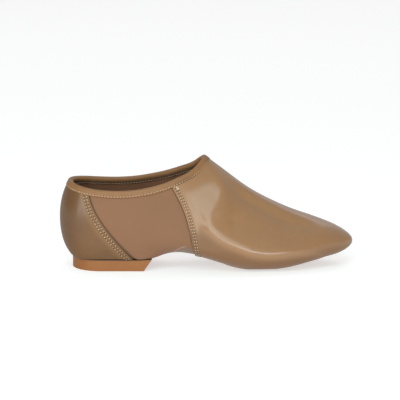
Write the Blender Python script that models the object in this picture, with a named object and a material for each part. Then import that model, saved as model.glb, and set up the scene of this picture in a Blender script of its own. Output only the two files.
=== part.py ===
# Slip-on split-sole jazz dance shoe for the right foot: a stretch upper with a leather vamp and counter
# lapped over it, a folded collar binding, a low heel block, a thin forefoot pad and an insole.
import math
from collections import namedtuple

import bmesh
import bpy
import numpy as np

# Sizes are in millimetres: X runs from the back of the heel to the toe, Y to the inner (medial) side of
# the foot and Z up from the floor. The finished shoe is centred over the origin.
MM = 0.001
LENGTH = 250.0
GAP = 0.3

# Layers, measured along the surface normal from the outside of the leather.
LEATHER = 1.0
UPPER_WALL = 1.5
TAPE = 1.0
TAPE_PROUD = 0.2
LEATHER_INSIDE = -LEATHER
UPPER_OUTSIDE = LEATHER_INSIDE - GAP
UPPER_INSIDE = UPPER_OUTSIDE - UPPER_WALL
TAPE_GROOVE_OUTSIDE = UPPER_OUTSIDE + GAP
TAPE_GROOVE_INSIDE = UPPER_INSIDE - GAP
TAPE_INSIDE = TAPE_GROOVE_INSIDE - TAPE
BINDING_HEIGHT = 6.0
COLLAR_TILT = 0.042

# Split sole.
PAD_THICK = 1.6
PAD_THIN = 0.8
PAD_TAPER = 40.0
PAD_BACK = 133.0
PAD_FRONT = 232.0
PAD_SHARE = 0.5
HEEL_BACK = 11.0
HEEL_BREAST_TOP = 79.0
HEEL_BREAST_FLOOR = 72.1
HEEL_HALF_WIDTH = 27.5
HEEL_SEAT = 12.0
INSOLE_THICK = 1.5
INSOLE_BACK = 16.0
INSOLE_FRONT = 235.0

# Openings under the upper, which the sole pieces close.
SEAT_OPENING = (24.0, 62.0, 17.0)
BALL_OPENING = (142.0, 226.0, 15.0)

# The last: one row for each section across the foot, from the heel point to the toe point. bottom and top
# are heights on the centre line, waist the height of the widest point, lateral and medial the half-widths
# there, flat the half-width of the level tread, centre the sideways place of the centre line and crown the
# roundness of the part above the waist (2 is an ellipse, less is peaked).
Section = namedtuple("Section", "x bottom top waist lateral medial flat centre crown")
LAST = [
    Section(0.0, 43.0, 43.0, 43.0, 0.0, 0.0, 0.0, 0.0, 2.0),
    Section(1.5, 28.3, 57.5, 43.0, 9.5, 9.5, 3.5, 0.0, 2.0),
    Section(6.0, 17.4, 70.5, 42.5, 18.2, 18.2, 9.5, 0.0, 2.0),
    Section(13.5, 10.1, 82.5, 42.0, 25.0, 25.0, 18.0, 0.0, 2.0),
    Section(24.0, 9.8, 94.5, 41.0, 29.6, 29.4, 24.5, 0.0, 2.0),
    Section(38.0, 9.8, 104.0, 40.0, 31.8, 31.2, 26.5, 0.0, 2.0),
    Section(56.0, 9.8, 110.0, 40.0, 32.6, 31.8, 26.0, 0.0, 2.0),
    Section(76.0, 9.8, 113.0, 39.5, 33.4, 31.8, 26.0, 0.0, 2.0),
    Section(97.0, 12.8, 110.0, 33.5, 34.7, 32.0, 12.0, 0.0, 1.95),
    Section(110.0, 11.9, 104.5, 26.0, 35.8, 32.8, 12.0, 0.0, 1.85),
    Section(123.0, 10.0, 95.5, 21.5, 37.3, 34.0, 14.0, 0.0, 1.75),
    Section(141.0, 5.0, 82.0, 19.5, 39.6, 36.3, 19.0, 0.2, 1.68),
    Section(160.0, 1.8, 67.5, 18.0, 40.6, 38.2, 24.5, 0.7, 1.8),
    Section(179.0, 1.5, 56.9, 17.0, 39.6, 38.4, 26.0, 1.6, 1.8),
    Section(197.0, 3.4, 48.7, 17.5, 36.4, 36.6, 24.0, 2.6, 1.75),
    Section(213.0, 6.9, 43.1, 19.0, 31.0, 32.4, 19.5, 3.5, 1.85),
    Section(226.0, 9.4, 38.0, 20.2, 24.8, 26.6, 14.0, 4.2, 2.0),
    Section(236.5, 11.1, 33.3, 20.9, 18.2, 19.8, 9.0, 4.7, 2.0),
    Section(244.0, 14.0, 28.6, 21.2, 11.8, 12.9, 5.0, 5.0, 2.0),
    Section(248.5, 17.2, 24.6, 21.0, 5.9, 6.5, 2.0, 5.2, 2.0),
    Section(250.0, 20.8, 20.8, 20.8, 0.0, 0.0, 0.0, 5.2, 2.0),
]

# Side-view lines, x and height in each row: the top edge of the binding from heel to throat, and the edges
# of the two leathers from the collar down.
Mark = namedtuple("Mark", "x z")
COLLAR = [
    Mark(8.0, 75.4),
    Mark(17.0, 73.5),
    Mark(32.0, 71.4),
    Mark(50.0, 70.6),
    Mark(68.0, 72.0),
    Mark(86.0, 76.2),
    Mark(102.0, 82.3),
    Mark(114.0, 88.0),
    Mark(124.0, 96.2),
]
FRONT_SEAM = [
    Mark(87.2, 92.0),
    Mark(95.8, 74.0),
    Mark(103.6, 59.0),
    Mark(108.4, 46.0),
    Mark(111.4, 34.0),
    Mark(113.3, 24.0),
    Mark(115.2, 14.0),
    Mark(118.0, 2.0),
]
BACK_SEAM = [
    Mark(24.7, 86.0),
    Mark(25.1, 72.0),
    Mark(27.3, 60.0),
    Mark(32.8, 48.0),
    Mark(40.7, 36.0),
    Mark(50.2, 24.0),
    Mark(60.7, 12.5),
    Mark(70.0, 2.0),
]

# Facets of the forms.
RINGS_PER_SECTION = 2
FLAT_COLUMNS = 2
SIDE_COLUMNS = 5
CROWN_COLUMNS = 7
SAMPLES = 40
FAR = 40.0


def catmull(rows, place):
    """Smooth value at a fractional row number, with one phantom row before and after the table."""
    place = np.asarray(place, float)
    first = np.clip(np.floor(place).astype(int), 0, len(rows) - 4)
    share = (place - first)[..., None]
    a, b, c, d = (rows[first + k] for k in range(4))
    linear = (c - a) * share
    square = (2 * a - 5 * b + 4 * c - d) * share**2
    cube = (3 * b - a - 3 * c + d) * share**3
    return b + 0.5 * (linear + square + cube)


def through_pole(row):
    """The section as it comes out on the other side of a closed end."""
    turned = row._replace(bottom=row.top, top=row.bottom)
    return turned._replace(lateral=-row.lateral, medial=-row.medial, flat=-row.flat)


def smooth_line(marks, samples):
    """Points on a smooth line through a table of marks."""
    rows = np.array(marks)
    before = 2 * rows[0] - rows[1]
    after = 2 * rows[-1] - rows[-2]
    rows = np.vstack([before, rows, after])
    return catmull(rows, np.linspace(0, len(marks) - 1, samples))


LAST_ROWS = np.array([through_pole(LAST[1]), *LAST, through_pole(LAST[-2])])
LAST_PLACES = np.linspace(0, len(LAST) - 1, (len(LAST) - 1) * SAMPLES + 1)
LAST_DENSE = Section(*catmull(LAST_ROWS, LAST_PLACES).T)
LATERAL_REACH = (LAST_DENSE.centre - LAST_DENSE.lateral).min()
MEDIAL_REACH = (LAST_DENSE.centre + LAST_DENSE.medial).max()
CENTRE_SHIFT = (LATERAL_REACH + MEDIAL_REACH) / 2


def section_at(x):
    """The last's section at a place along the foot."""
    return Section(*(np.interp(x, LAST_DENSE.x, column) for column in LAST_DENSE))


def half_ring(section, width):
    """Sideways and upward places from the bottom centre round one side to the top centre."""
    points = [(section.flat * k / FLAT_COLUMNS, section.bottom) for k in range(FLAT_COLUMNS)]
    for k in range(SIDE_COLUMNS):
        turn = 0.5 * math.pi * k / SIDE_COLUMNS
        across = section.flat + (width - section.flat) * math.sin(turn)
        points.append((across, section.waist - (section.waist - section.bottom) * math.cos(turn)))
    for k in range(CROWN_COLUMNS + 1):
        turn = 0.5 * math.pi * k / CROWN_COLUMNS
        power = 2 / section.crown
        across = width * max(math.cos(turn), 0.0) ** power
        points.append((across, section.waist + (section.top - section.waist) * math.sin(turn) ** power))
    return points


def underside(x, y):
    """Height of the leather's underside at a place on the tread."""
    section = section_at(x)
    across = y - section.centre
    width = section.medial if across > 0 else section.lateral
    past = max(0.0, (abs(across) - section.flat) / (width - section.flat))
    return section.waist - (section.waist - section.bottom) * math.sqrt(1 - min(past, 1.0) ** 2)


def place_point(x, y, z):
    """A point of the shoe in metres, centred over the origin."""
    return ((x - LENGTH / 2) * MM, (y - CENTRE_SHIFT) * MM, z * MM)


def add_form(work, offset, inward):
    """One closed form of the last, moved along its normals, facing out or, as a hollow, in."""
    form = bmesh.new()
    count = (len(LAST) - 1) * RINGS_PER_SECTION
    rings = []
    for step in range(1, count):
        section = Section(*catmull(LAST_ROWS, step / RINGS_PER_SECTION))
        lateral = [(section.centre - y, z) for y, z in half_ring(section, section.lateral)]
        medial = [(section.centre + y, z) for y, z in half_ring(section, section.medial)]
        around = lateral + medial[-2:0:-1]
        rings.append([form.verts.new(place_point(section.x, y, z)) for y, z in around])
    heel = form.verts.new(place_point(LAST[0].x, LAST[0].centre, LAST[0].bottom))
    toe = form.verts.new(place_point(LAST[-1].x, LAST[-1].centre, LAST[-1].bottom))
    size = len(rings[0])
    for k in range(size):
        after = (k + 1) % size
        form.faces.new((heel, rings[0][k], rings[0][after]))
        form.faces.new((toe, rings[-1][after], rings[-1][k]))
        for near, far in zip(rings, rings[1:]):
            form.faces.new((near[k], far[k], far[after], near[after]))
    bmesh.ops.recalc_face_normals(form, faces=form.faces)
    form.normal_update()
    moved = [(vert, vert.co + vert.normal * offset * MM) for vert in form.verts]
    for vert, spot in moved:
        vert.co = spot
    if inward:
        bmesh.ops.reverse_faces(form, faces=form.faces)
    part = bpy.data.meshes.new("form")
    form.to_mesh(part)
    form.free()
    work.from_mesh(part)
    bpy.data.meshes.remove(part)


def finish(name, work):
    """An object from a work mesh, with smooth faces and sharp edges kept."""
    mesh = bpy.data.meshes.new(name)
    work.to_mesh(mesh)
    work.free()
    for face in mesh.polygons:
        face.use_smooth = True
    mesh.set_sharp_from_angle(angle=math.radians(40))
    piece = bpy.data.objects.new(name, mesh)
    bpy.context.scene.collection.objects.link(piece)
    return piece


def shell(name, outside, inside):
    """A hollow wall between two offsets of the last."""
    work = bmesh.new()
    add_form(work, outside, False)
    add_form(work, inside, True)
    return finish(name, work)


def prism(name, outline, sweep):
    """A cutter: a flat outline drawn out along a vector."""
    work = bmesh.new()
    face = work.faces.new([work.verts.new(place_point(*point)) for point in outline])
    drawn = bmesh.ops.extrude_face_region(work, geom=[face])["geom"]
    ends = [item for item in drawn if isinstance(item, bmesh.types.BMVert)]
    bmesh.ops.translate(work, verts=ends, vec=[part * MM for part in sweep])
    bmesh.ops.recalc_face_normals(work, faces=work.faces)
    cutter = finish(name, work)
    cutter.hide_render = True
    cutter.display_type = "WIRE"
    return cutter


def side_prism(name, outline, tilt=0.0):
    """A cutter drawn right across the shoe from a side-view outline, rising to the inner side by the tilt."""
    rise = tilt * LENGTH
    return prism(name, [(x, -LENGTH / 2, z - rise / 2) for x, z in outline], (0.0, LENGTH, rise))


def cut(piece, cutter, operation="DIFFERENCE"):
    """A Boolean between a piece and a cutter."""
    step = piece.modifiers.new(cutter.name, "BOOLEAN")
    step.solver = "EXACT"
    step.operation = operation
    step.object = cutter


def collar_line(drop):
    """The collar in side view, moved down square to itself and run out past both ends."""
    line = smooth_line(COLLAR, 4 * len(COLLAR))
    along = np.gradient(line, axis=0)
    along /= np.linalg.norm(along, axis=1)[:, None]
    line = line + drop * np.column_stack([along[:, 1], -along[:, 0]])
    return np.vstack([line[0] - FAR * along[0], line, line[-1] + FAR * along[-1]])


def above(drop):
    """Outline of all that lies above the moved collar line."""
    line = collar_line(drop)
    roof = LENGTH
    return [*line, (line[-1][0], roof), (line[0][0], roof)]


def below(drop):
    """Outline of all that lies below the moved collar line."""
    line = collar_line(drop)
    return [*line, (line[-1][0] + LENGTH, line[-1][1]), (line[-1][0] + LENGTH, -FAR), (line[0][0], -FAR)]


def beside(seam, x):
    """Outline of all that lies between a seam and an upright at x."""
    line = smooth_line(seam, 4 * len(seam))
    low = line[-1] + (line[-1] - line[-2]) * 4
    high = line[0] + (line[0] - line[1]) * 8
    return [high, *line, low, (x, low[1]), (x, high[1])]


def oval(back, front, half_width, corners=32):
    """Outline of an opening on the tread."""
    middle = (back + front) / 2
    points = []
    for k in range(corners):
        turn = 2 * math.pi * k / corners
        x = middle + (front - back) / 2 * math.cos(turn)
        points.append((x, section_at(x).centre + half_width * math.sin(turn), -FAR))
    return points


def plate(name, stations, columns, over, under):
    """A closed sheet: rows of (x, lateral y, medial y), with functions for its two faces."""
    work = bmesh.new()
    faces = []
    for side in (over, under):
        grid = []
        for x, lateral, medial in stations:
            across = np.linspace(lateral, medial, columns + 1)
            grid.append([work.verts.new(place_point(*side(x, y))) for y in across])
        faces.append(grid)
    top, bottom = faces
    last = len(stations) - 1
    for i in range(last):
        for j in range(columns):
            for grid in faces:
                work.faces.new((grid[i][j], grid[i + 1][j], grid[i + 1][j + 1], grid[i][j + 1]))
        for j in (0, columns):
            work.faces.new((top[i][j], top[i + 1][j], bottom[i + 1][j], bottom[i][j]))
    for j in range(columns):
        for i in (0, last):
            work.faces.new((top[i][j], top[i][j + 1], bottom[i][j + 1], bottom[i][j]))
    bmesh.ops.recalc_face_normals(work, faces=work.faces)
    return finish(name, work)


def rounded(x, start, stop, back_reach, front_reach):
    """Share of the full width left near the two rounded ends of a plate."""
    from_back = max(0.0, 1 - (x - start) / back_reach)
    from_front = max(0.0, 1 - (stop - x) / front_reach)
    return math.sqrt(1 - from_back**2) * math.sqrt(1 - from_front**2)


def eased(start, stop, steps):
    """Places from start to stop, closer together at both ends and just short of them."""
    turns = np.linspace(0.12, 1, steps)
    shares = 0.5 - 0.5 * np.cos(math.pi * np.concatenate([turns[:-1] / 2, 1 - turns[::-1] / 2]))
    return start + (stop - start) * shares


def paint(piece, material, colour, roughness):
    """A plain material of its own for a piece."""
    look = bpy.data.materials.new(material)
    look.use_nodes = True
    shader = look.node_tree.nodes["Principled BSDF"]
    shader.inputs["Base Color"].default_value = (*colour, 1.0)
    shader.inputs["Roughness"].default_value = roughness
    piece.data.materials.append(look)


for old in list(bpy.data.objects):
    bpy.data.objects.remove(old)

# Cutters.
edge_cut = side_prism("cut_upper_edge", above(TAPE + GAP), COLLAR_TILT)
leather_edge_cut = side_prism("cut_leather_edge", above(BINDING_HEIGHT + GAP), COLLAR_TILT)
front_cut = side_prism("cut_behind_front_seam", beside(FRONT_SEAM, -FAR))
back_cut = side_prism("cut_before_back_seam", beside(BACK_SEAM, LENGTH + FAR))
seat_cut = prism("cut_seat_opening", oval(*SEAT_OPENING), (0.0, 0.0, FAR + 20.0))
ball_cut = prism("cut_ball_opening", oval(*BALL_OPENING), (0.0, 0.0, FAR + 20.0))

# Stretch upper: one hollow shell, open at the collar and under the forefoot and heel seat.
upper = shell("upper", UPPER_OUTSIDE, UPPER_INSIDE)
for cutter in (edge_cut, seat_cut, ball_cut):
    cut(upper, cutter)
paint(upper, "stretch_knit", (0.335, 0.185, 0.11), 0.85)

# Vamp leather over the toes and instep, lapped over the upper.
vamp = shell("vamp", 0.0, LEATHER_INSIDE)
for cutter in (front_cut, leather_edge_cut, ball_cut):
    cut(vamp, cutter)
paint(vamp, "vamp_leather", (0.343, 0.207, 0.116), 0.45)

# Counter leather round the heel.
counter = shell("counter", 0.0, LEATHER_INSIDE)
for cutter in (back_cut, leather_edge_cut, seat_cut):
    cut(counter, cutter)
paint(counter, "counter_leather", (0.31, 0.185, 0.105), 0.45)

# Collar binding: a tape folded over the upper's edge, cut between two forms of the last.
groove = shell("cut_binding_groove", TAPE_GROOVE_OUTSIDE, TAPE_GROOVE_INSIDE)
cut(groove, side_prism("cut_groove_top", above(TAPE), COLLAR_TILT))
groove.hide_render = True
groove.display_type = "WIRE"
binding = shell("collar_binding", TAPE_PROUD, TAPE_INSIDE)
cut(binding, side_prism("cut_above_binding", above(0.0), COLLAR_TILT))
cut(binding, side_prism("cut_below_binding", below(BINDING_HEIGHT), COLLAR_TILT))
cut(binding, groove)
paint(binding, "binding_tape", (0.36, 0.21, 0.115), 0.55)


# Forefoot pad of the split sole, worn level where the ball stands on the floor and skived thin at the toe.
def pad_row(x):
    section = section_at(x)
    share = PAD_SHARE * rounded(x, PAD_BACK, PAD_FRONT, 26.0, 16.0)
    return (x, section.centre - share * section.lateral, section.centre + share * section.medial)


def pad_floor(x, y):
    thick = np.interp(x, (PAD_FRONT - PAD_TAPER, PAD_FRONT), (PAD_THICK, PAD_THIN))
    return (x, y, max(0.0, section_at(x).bottom - GAP - thick))


pad_rows = [pad_row(x) for x in eased(PAD_BACK, PAD_FRONT, 11)]
pad = plate("outsole_forefoot", pad_rows, 8, lambda x, y: (x, y, underside(x, y) - GAP), pad_floor)
paint(pad, "outsole_rubber", (0.27, 0.16, 0.095), 0.8)


# Heel block with a slanted breast; its top follows the underside, level at the very back.
def heel_row(x):
    reach = max(0.0, HEEL_BACK + HEEL_HALF_WIDTH - x)
    half = math.sqrt(HEEL_HALF_WIDTH**2 - reach**2)
    return (x, -half, half)


def heel_top(x, y):
    return (x, y, section_at(max(x, HEEL_SEAT)).bottom - GAP)


def heel_floor(x, y):
    share = (x - HEEL_BACK) / (HEEL_BREAST_TOP - HEEL_BACK)
    return (HEEL_BACK + share * (HEEL_BREAST_FLOOR - HEEL_BACK), y, 0.0)


heel_places = HEEL_BACK + HEEL_HALF_WIDTH * (1 - np.cos(np.linspace(0.1, math.pi / 2, 10)))
heel_places = [*heel_places, *np.linspace(heel_places[-1], HEEL_BREAST_TOP, 6)[1:]]
heel = plate("heel", [heel_row(x) for x in heel_places], 10, heel_top, heel_floor)
paint(heel, "heel_rubber", (0.43, 0.195, 0.072), 0.6)


# Insole on the inside of the bottom.
def insole_row(x):
    section = section_at(x)
    half = min(section.flat, section.lateral - 7.5, section.medial - 7.5)
    half *= rounded(x, INSOLE_BACK, INSOLE_FRONT, 22.0, 8.0)
    return (x, section.centre - half, section.centre + half)


def insole_face(lift):
    return lambda x, y: (x, y, underside(x, y) - UPPER_INSIDE + GAP + 0.2 + lift)


insole_rows = [insole_row(x) for x in eased(INSOLE_BACK, INSOLE_FRONT, 12)]
insole = plate("insole", insole_rows, 6, insole_face(INSOLE_THICK), insole_face(0.0))
paint(insole, "insole_sock", (0.2, 0.13, 0.085), 0.9)
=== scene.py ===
# Slip-on split-sole jazz dance shoe for the right foot, dressed piece by piece in the order it is sewn,
# lasted and soled. Sizes are in millimetres until a mesh is made.
import math
from collections import namedtuple

import bmesh
import bpy
import numpy as np
from mathutils import Matrix, Vector
from mathutils.kdtree import KDTree


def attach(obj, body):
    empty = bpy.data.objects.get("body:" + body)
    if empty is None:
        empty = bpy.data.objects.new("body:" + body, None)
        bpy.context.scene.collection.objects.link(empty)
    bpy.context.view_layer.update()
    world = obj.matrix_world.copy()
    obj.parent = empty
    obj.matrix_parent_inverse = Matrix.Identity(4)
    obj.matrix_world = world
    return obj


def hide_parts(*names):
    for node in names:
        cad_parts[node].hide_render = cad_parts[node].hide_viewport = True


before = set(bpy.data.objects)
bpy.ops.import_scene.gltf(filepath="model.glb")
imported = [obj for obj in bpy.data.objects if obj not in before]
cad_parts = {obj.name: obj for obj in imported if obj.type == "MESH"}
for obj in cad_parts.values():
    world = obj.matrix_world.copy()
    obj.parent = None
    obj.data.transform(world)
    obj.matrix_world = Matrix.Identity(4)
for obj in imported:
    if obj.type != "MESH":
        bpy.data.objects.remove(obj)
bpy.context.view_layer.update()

# Stretch gore. A band of tan neoprene-like stretch cloth that runs from one side of the collar under the
# arch to the other; both leathers are lapped over its edges. It is cut flat and takes the last's shape.
Section = namedtuple("Section", "x bottom top waist lateral medial flat centre crown")
LAST = [
    Section(0.0, 43.0, 43.0, 43.0, 0.0, 0.0, 0.0, 0.0, 2.0),
    Section(1.5, 28.3, 57.5, 43.0, 9.5, 9.5, 3.5, 0.0, 2.0),
    Section(6.0, 17.4, 70.5, 42.5, 18.2, 18.2, 9.5, 0.0, 2.0),
    Section(13.5, 10.1, 82.5, 42.0, 25.0, 25.0, 18.0, 0.0, 2.0),
    Section(24.0, 9.8, 94.5, 41.0, 29.6, 29.4, 24.5, 0.0, 2.0),
    Section(38.0, 9.8, 104.0, 40.0, 31.8, 31.2, 26.5, 0.0, 2.0),
    Section(56.0, 9.8, 110.0, 40.0, 32.6, 31.8, 26.0, 0.0, 2.0),
    Section(76.0, 9.8, 113.0, 39.5, 33.4, 31.8, 26.0, 0.0, 2.0),
    Section(97.0, 12.8, 110.0, 33.5, 34.7, 32.0, 12.0, 0.0, 1.95),
    Section(110.0, 11.9, 104.5, 26.0, 35.8, 32.8, 12.0, 0.0, 1.85),
    Section(123.0, 10.0, 95.5, 21.5, 37.3, 34.0, 14.0, 0.0, 1.75),
    Section(141.0, 5.0, 82.0, 19.5, 39.6, 36.3, 19.0, 0.2, 1.68),
    Section(160.0, 1.8, 67.5, 18.0, 40.6, 38.2, 24.5, 0.7, 1.8),
    Section(179.0, 1.5, 56.9, 17.0, 39.6, 38.4, 26.0, 1.6, 1.8),
    Section(197.0, 3.4, 48.7, 17.5, 36.4, 36.6, 24.0, 2.6, 1.75),
    Section(213.0, 6.9, 43.1, 19.0, 31.0, 32.4, 19.5, 3.5, 1.85),
    Section(226.0, 9.4, 38.0, 20.2, 24.8, 26.6, 14.0, 4.2, 2.0),
    Section(236.5, 11.1, 33.3, 20.9, 18.2, 19.8, 9.0, 4.7, 2.0),
    Section(244.0, 14.0, 28.6, 21.2, 11.8, 12.9, 5.0, 5.0, 2.0),
    Section(248.5, 17.2, 24.6, 21.0, 5.9, 6.5, 2.0, 5.2, 2.0),
    Section(250.0, 20.8, 20.8, 20.8, 0.0, 0.0, 0.0, 5.2, 2.0),
]
COLLAR = [
    (8.0, 75.4), (17.0, 73.5), (32.0, 71.4), (50.0, 70.6), (68.0, 72.0),
    (86.0, 76.2), (102.0, 82.3), (114.0, 88.0), (124.0, 96.2),
]
FRONT_SEAM = [
    (87.2, 92.0), (95.8, 74.0), (103.6, 59.0), (108.4, 46.0),
    (111.4, 34.0), (113.3, 24.0), (115.2, 14.0), (118.0, 2.0),
]
BACK_SEAM = [
    (24.7, 86.0), (25.1, 72.0), (27.3, 60.0), (32.8, 48.0),
    (40.7, 36.0), (50.2, 24.0), (60.7, 12.5), (70.0, 2.0),
]
LENGTH = 250.0
COLLAR_TILT = 0.042
CROWN_SHARE = 0.60
SIDE_SHARE = 0.84
GORE_OUTSIDE = -1.3
GORE_ON_HEEL = -0.2
GORE_THICK = 0.6
GORE_LAP = 9.0
EDGE_DROP = 1.5
GORE_TAN = (0.208, 0.100, 0.051)
GORE_SHADE = (0.188, 0.091, 0.046)
SEAM_SHADOW = (0.085, 0.044, 0.025)
ARCH_SHADE_GREY = (0.170, 0.108, 0.074)
ARCH_FOLD_HIGHLIGHT = (0.400, 0.275, 0.205)


def catmull(rows, place):
    """Smooth value at a fractional row number, with one phantom row before and after the table."""
    place = np.asarray(place, float)
    first = np.clip(np.floor(place).astype(int), 0, len(rows) - 4)
    share = (place - first)[..., None]
    a, b, c, d = (rows[first + k] for k in range(4))
    linear = (c - a) * share
    square = (2 * a - 5 * b + 4 * c - d) * share**2
    cube = (3 * b - a - 3 * c + d) * share**3
    return b + 0.5 * (linear + square + cube)


def through_pole(section):
    """The section as it comes out on the other side of a closed end."""
    turned = section._replace(bottom=section.top, top=section.bottom)
    return turned._replace(lateral=-section.lateral, medial=-section.medial, flat=-section.flat)


def eased_last(per_section=40, spread=0.3):
    """The last's sections close together, with the small changes of bend between the rows eased out."""
    rows = np.array([through_pole(LAST[1]), *LAST, through_pole(LAST[-2])])
    dense = Section(*catmull(rows, np.linspace(0, len(LAST) - 1, (len(LAST) - 1) * per_section + 1)).T)
    heel = through_pole(Section(*(column[per_section:0:-1] for column in dense)))
    toe = through_pole(Section(*(column[-2 : -per_section - 2 : -1] for column in dense)))
    reach = np.arange(-per_section, per_section + 1) / per_section
    weight = np.exp(-0.5 * (reach / spread) ** 2)
    weight /= weight.sum()
    joined = (np.concatenate(columns) for columns in zip(heel, dense, toe))
    return Section(*(np.convolve(column, weight, mode="valid") for column in joined))


DENSE = eased_last()


def section_at(x):
    """The last's section at a place along the foot."""
    return Section(*(np.interp(x, DENSE.x, column) for column in DENSE))


def skin(x, around):
    """Points on the outside of the shoe: around is 0 on the instep, -1 and 1 under the foot."""
    s = section_at(x)
    width = np.where(around < 0, s.lateral, s.medial)
    share = np.abs(around)
    over = np.clip(share / CROWN_SHARE, 0, 1) * math.pi / 2
    under = np.clip((share - CROWN_SHARE) / (SIDE_SHARE - CROWN_SHARE), 0, 1) * math.pi / 2
    tread = np.clip((1 - share) / (1 - SIDE_SHARE), 0, 1)
    crown_across = width * np.maximum(np.sin(over), 0) ** (2 / s.crown)
    crown_height = s.waist + (s.top - s.waist) * np.maximum(np.cos(over), 0) ** (2 / s.crown)
    side_across = (width - s.flat) * np.cos(under) + s.flat * tread
    side_height = s.waist - (s.waist - s.bottom) * np.sin(under)
    on_crown = share < CROWN_SHARE
    across = np.where(on_crown, crown_across, side_across)
    height = np.where(on_crown, crown_height, side_height)
    return np.stack([x + 0 * across, s.centre + np.sign(around) * across, height], axis=-1)


def smooth_line(marks, samples):
    """Points on a smooth line through a table of marks."""
    rows = np.array(marks)
    rows = np.vstack([2 * rows[0] - rows[1], rows, 2 * rows[-1] - rows[-2]])
    return catmull(rows, np.linspace(0, len(marks) - 1, samples))


def hump(value, middle, half_width):
    """1 in the middle, falling softly to 0."""
    return np.exp(-(((value - middle) / half_width) ** 2))


def soft_step(value, start, stop):
    """0 before start, 1 after stop and a soft change between."""
    share = np.clip((value - start) / (stop - start), 0, 1)
    return share * share * (3 - 2 * share)


def across_line(x, z, line):
    """Distance from a side-view line, more than 0 on its left as it runs."""
    start, step = line[:-1], np.diff(line, axis=0)
    away = np.stack([x, z], axis=-1)[..., None, :] - start
    share = np.clip((away * step).sum(-1) / (step**2).sum(-1), 0, 1)
    short = away - share[..., None] * step
    distance = np.linalg.norm(short, axis=-1)
    near = distance.argmin(-1)[..., None]
    turn = step[:, 0] * away[..., 1] - step[:, 1] * away[..., 0]
    side = np.sign(np.take_along_axis(turn, near, -1)[..., 0])
    return side * np.take_along_axis(distance, near, -1)[..., 0]


def eased_across(x, z, line, ease=3.0):
    """The same distance for broad folds, eased where the nearest stretch of the line changes."""
    start, step = line[:-1], np.diff(line, axis=0)
    length = np.linalg.norm(step, axis=1)
    away = np.stack([x, z], axis=-1)[..., None, :] - start
    share = np.clip((away * step).sum(-1) / length**2, 0, 1)
    distance = np.linalg.norm(away - share[..., None] * step, axis=-1)
    weight = np.exp((distance.min(-1, keepdims=True) - distance) / ease)
    aside = (step[:, 0] * away[..., 1] - step[:, 1] * away[..., 0]) / length
    return (weight * aside).sum(-1) / weight.sum(-1)


INSTEP_RIDGE = [
    (138.0, 96.0), (138.0, 80.0), (138.0, 69.0), (136.0, 61.0), (130.5, 55.0), (127.5, 48.0), (129.0, 40.5),
    (134.5, 34.0), (142.0, 29.0), (153.0, 24.0), (165.0, 19.5), (178.0, 17.5), (195.0, 18.0), (220.0, 19.0),
]
RIDGE_LINE = smooth_line(INSTEP_RIDGE, 80)
PUCKER_LINE = smooth_line([(112.0, 66.0), (115.0, 58.0), (119.5, 50.0), (125.0, 42.0)], 12)
ARCH_EDGE = [
    (86.0, -4.0), (97.0, 13.0), (102.0, 18.6), (106.5, 21.2), (110.5, 20.6), (115.0, 17.0), (122.0, 8.0),
]
ARCH_LINE = smooth_line(ARCH_EDGE, 30)


def drawn(points):
    """How far the upper stands out or is drawn in along the normal: a hollow behind the instep ridge, the
    ridge itself, a hollow ahead of it and a small pucker beside the front seam."""
    x, y, z = np.moveaxis(points, -1, 0)
    ahead = eased_across(x, z, RIDGE_LINE)
    side = soft_step(np.abs(y), 6.0, 18.0)
    fore = soft_step(x, 132.0, 150.0)
    before_toe = 1 - soft_step(x, 190.0, 230.0)
    depth = 3.9 * soft_step(z, 34.0, 70.0) * soft_step(x, 60.0, 100.0)
    depth *= 1 - 0.5 * soft_step(z, 74.0, 98.0)
    hollow = -depth * soft_step(-ahead / 24.0, -0.2, 1.0) * (1 - soft_step(-ahead, 26.0, 70.0))
    ridge = (1.1 - 0.9 * hump(z, 60.0, 7.0)) * hump(ahead, 0.0, 6.0) * before_toe
    flank = -(2.6 + 2.2 * fore) * soft_step(ahead / (27.0 - 4.0 * fore), -0.1, 1.0)
    flank *= (1 - soft_step(ahead, 30.0, 84.0)) * before_toe
    pucker = -0.34 * hump(eased_across(x, z, PUCKER_LINE, 1.0), 0.0, 2.0)
    pucker *= soft_step(z, 41.0, 46.0) * (1 - soft_step(z, 58.0, 66.0))
    return (hollow + ridge + flank + pucker) * side


FRONT_LINE = smooth_line(FRONT_SEAM, 200)
BACK_LINE = smooth_line(BACK_SEAM, 200)


def seam_place(line, z):
    """Where along the foot a seam lies at a height."""
    return np.interp(z, line[::-1, 1], line[::-1, 0])


def collar_height(x, drop):
    """Height of the collar in side view, moved down square to itself and run out past both ends."""
    line = smooth_line(COLLAR, 90)
    along = np.gradient(line, axis=0)
    along /= np.linalg.norm(along, axis=1)[:, None]
    line = line + drop * np.column_stack([along[:, 1], -along[:, 0]])
    line = np.vstack([line[0] - 40 * along[0], line, line[-1] + 40 * along[-1]])
    return np.interp(x, line[:, 0], line[:, 1])


def under_collar(points, drop):
    """Whether points lie below the moved collar, which is higher on the inner side."""
    x, y, z = np.moveaxis(points, -1, 0)
    return z - COLLAR_TILT * y < collar_height(x, drop)


def halving(low, high, past):
    """The places between low and high from which past is true, found by halving."""
    for _ in range(40):
        middle = (low + high) / 2
        there = past(middle)
        low, high = np.where(there, low, middle), np.where(there, middle, high)
    return high


def collar_share(x, side, drop):
    """Where round the section the moved collar crosses it on one side, and 0 off the ends of the collar."""
    start = np.zeros(np.broadcast(x, side).shape)
    return halving(start, start + 1, lambda share: under_collar(skin(x, side * share), drop))


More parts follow.
